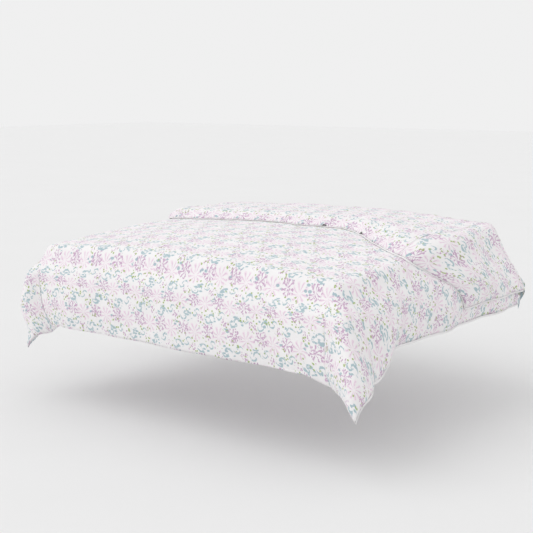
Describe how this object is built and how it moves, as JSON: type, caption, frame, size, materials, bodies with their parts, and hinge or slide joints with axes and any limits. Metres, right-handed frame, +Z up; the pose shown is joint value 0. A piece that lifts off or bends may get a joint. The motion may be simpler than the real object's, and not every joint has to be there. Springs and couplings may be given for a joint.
{
  "type": "duvet with printed cover, laid on a bed",
  "caption": "Box-stitched duvet in a printed cotton cover, draped over the foot and sides of a mattress; its head end is turned back and the flap folds open.",
  "frame": {"origin": "middle of the flat underside that lies on the mattress", "axes": "+X across the bed towards the side where the flap reaches further, +Y along the bed towards the head, +Z up"},
  "size_m": [1.7868, 1.4956, 0.5587],
  "materials": {
    "printed_cotton": "matt cotton percale, white with a small printed botanical pattern",
    "plain_cotton": "matt white cotton",
    "filling": "white cotton shell over soft fibre filling",
    "stud_plastic": "smooth, off-white"
  },
  "bodies": {
    "laid_duvet": {"cover_top_panel": "printed_cotton", "cover_under_panel": "printed_cotton", "fold_cover": "printed_cotton", "side_seam_left": "plain_cotton", "side_seam_right": "plain_cotton", "foot_facing_top": "plain_cotton", "foot_facing_under": "plain_cotton", "press_stud_cap_1": "stud_plastic", "press_stud_cap_2": "stud_plastic", "press_stud_cap_3": "stud_plastic", "press_stud_socket_1": "stud_plastic", "press_stud_socket_2": "stud_plastic", "press_stud_socket_3": "stud_plastic", "inner_box_foot_corner_left": "filling", "inner_box_foot_corner_right": "filling", "inner_box_foot_drop_col1": "filling", "inner_box_foot_drop_col2": "filling", "inner_box_foot_drop_col3": "filling", "inner_box_foot_drop_col4": "filling", "inner_box_row1_left_drop": "filling", "inner_box_row1_col1": "filling", "inner_box_row1_col2": "filling", "inner_box_row1_col3": "filling", "inner_box_row1_col4": "filling", "inner_box_row1_right_drop": "filling", "inner_box_row2_left_drop": "filling", "inner_box_row2_col1": "filling", "inner_box_row2_col2": "filling", "inner_box_row2_col3": "filling", "inner_box_row2_col4": "filling", "inner_box_row2_right_drop": "filling", "inner_box_row3_left_drop": "filling", "inner_box_row3_col1": "filling", "inner_box_row3_col2": "filling", "inner_box_row3_col3": "filling", "inner_box_row3_col4": "filling", "inner_box_row3_right_drop": "filling", "fold_roll_top": "filling", "fold_roll_left_side": "filling", "fold_roll_right_side": "filling"},
    "flap": {"flap_cover_inner_face": "printed_cotton", "flap_cover_outer_face": "printed_cotton", "flap_head_seam": "plain_cotton", "flap_box_col1": "filling", "flap_box_col2": "filling", "flap_box_col3": "filling", "flap_box_col4": "filling"},
    "flap_left": {"flap_shoulder_left": "filling", "flap_box_left_drop": "filling", "flap_left_cover_inner_face": "printed_cotton", "flap_left_cover_outer_face": "printed_cotton", "flap_left_side_seam": "plain_cotton", "flap_left_head_seam": "plain_cotton"},
    "flap_right": {"flap_shoulder_right": "filling", "flap_box_right_drop": "filling", "flap_right_cover_inner_face": "printed_cotton", "flap_right_cover_outer_face": "printed_cotton", "flap_right_side_seam": "plain_cotton", "flap_right_head_seam": "plain_cotton"}
  },
  "joints": [
    {"name": "turnback_fold", "type": "hinge", "parent": "laid_duvet", "child": "flap", "pos_m": [0, 0.65, 0.045], "axis": [-1, 0, 0], "range_deg": [0, 180], "deforming": ["fold_roll_top", "fold_roll_left_side", "fold_roll_right_side", "fold_cover"]},
    {"name": "flap_left_edge", "type": "hinge", "parent": "flap", "child": "flap_left", "pos_m": [-0.8235, 0.385, 0.0782], "axis": [0, 1, 0], "range_deg": [0, 164], "deforming": ["flap_shoulder_left", "flap_left_cover_inner_face", "flap_left_cover_outer_face", "flap_left_head_seam"]},
    {"name": "flap_right_edge", "type": "hinge", "parent": "flap", "child": "flap_right", "pos_m": [0.8235, 0.385, 0.0782], "axis": [0, -1, 0], "range_deg": [0, 164], "deforming": ["flap_shoulder_right", "flap_right_cover_inner_face", "flap_right_cover_outer_face", "flap_right_head_seam"]}
  ],
  "couplings": [
    {"joint": "flap_left_edge", "follows": "turnback_fold", "ratio": 0.9111},
    {"joint": "flap_right_edge", "follows": "turnback_fold", "ratio": 0.9111}
  ]
}
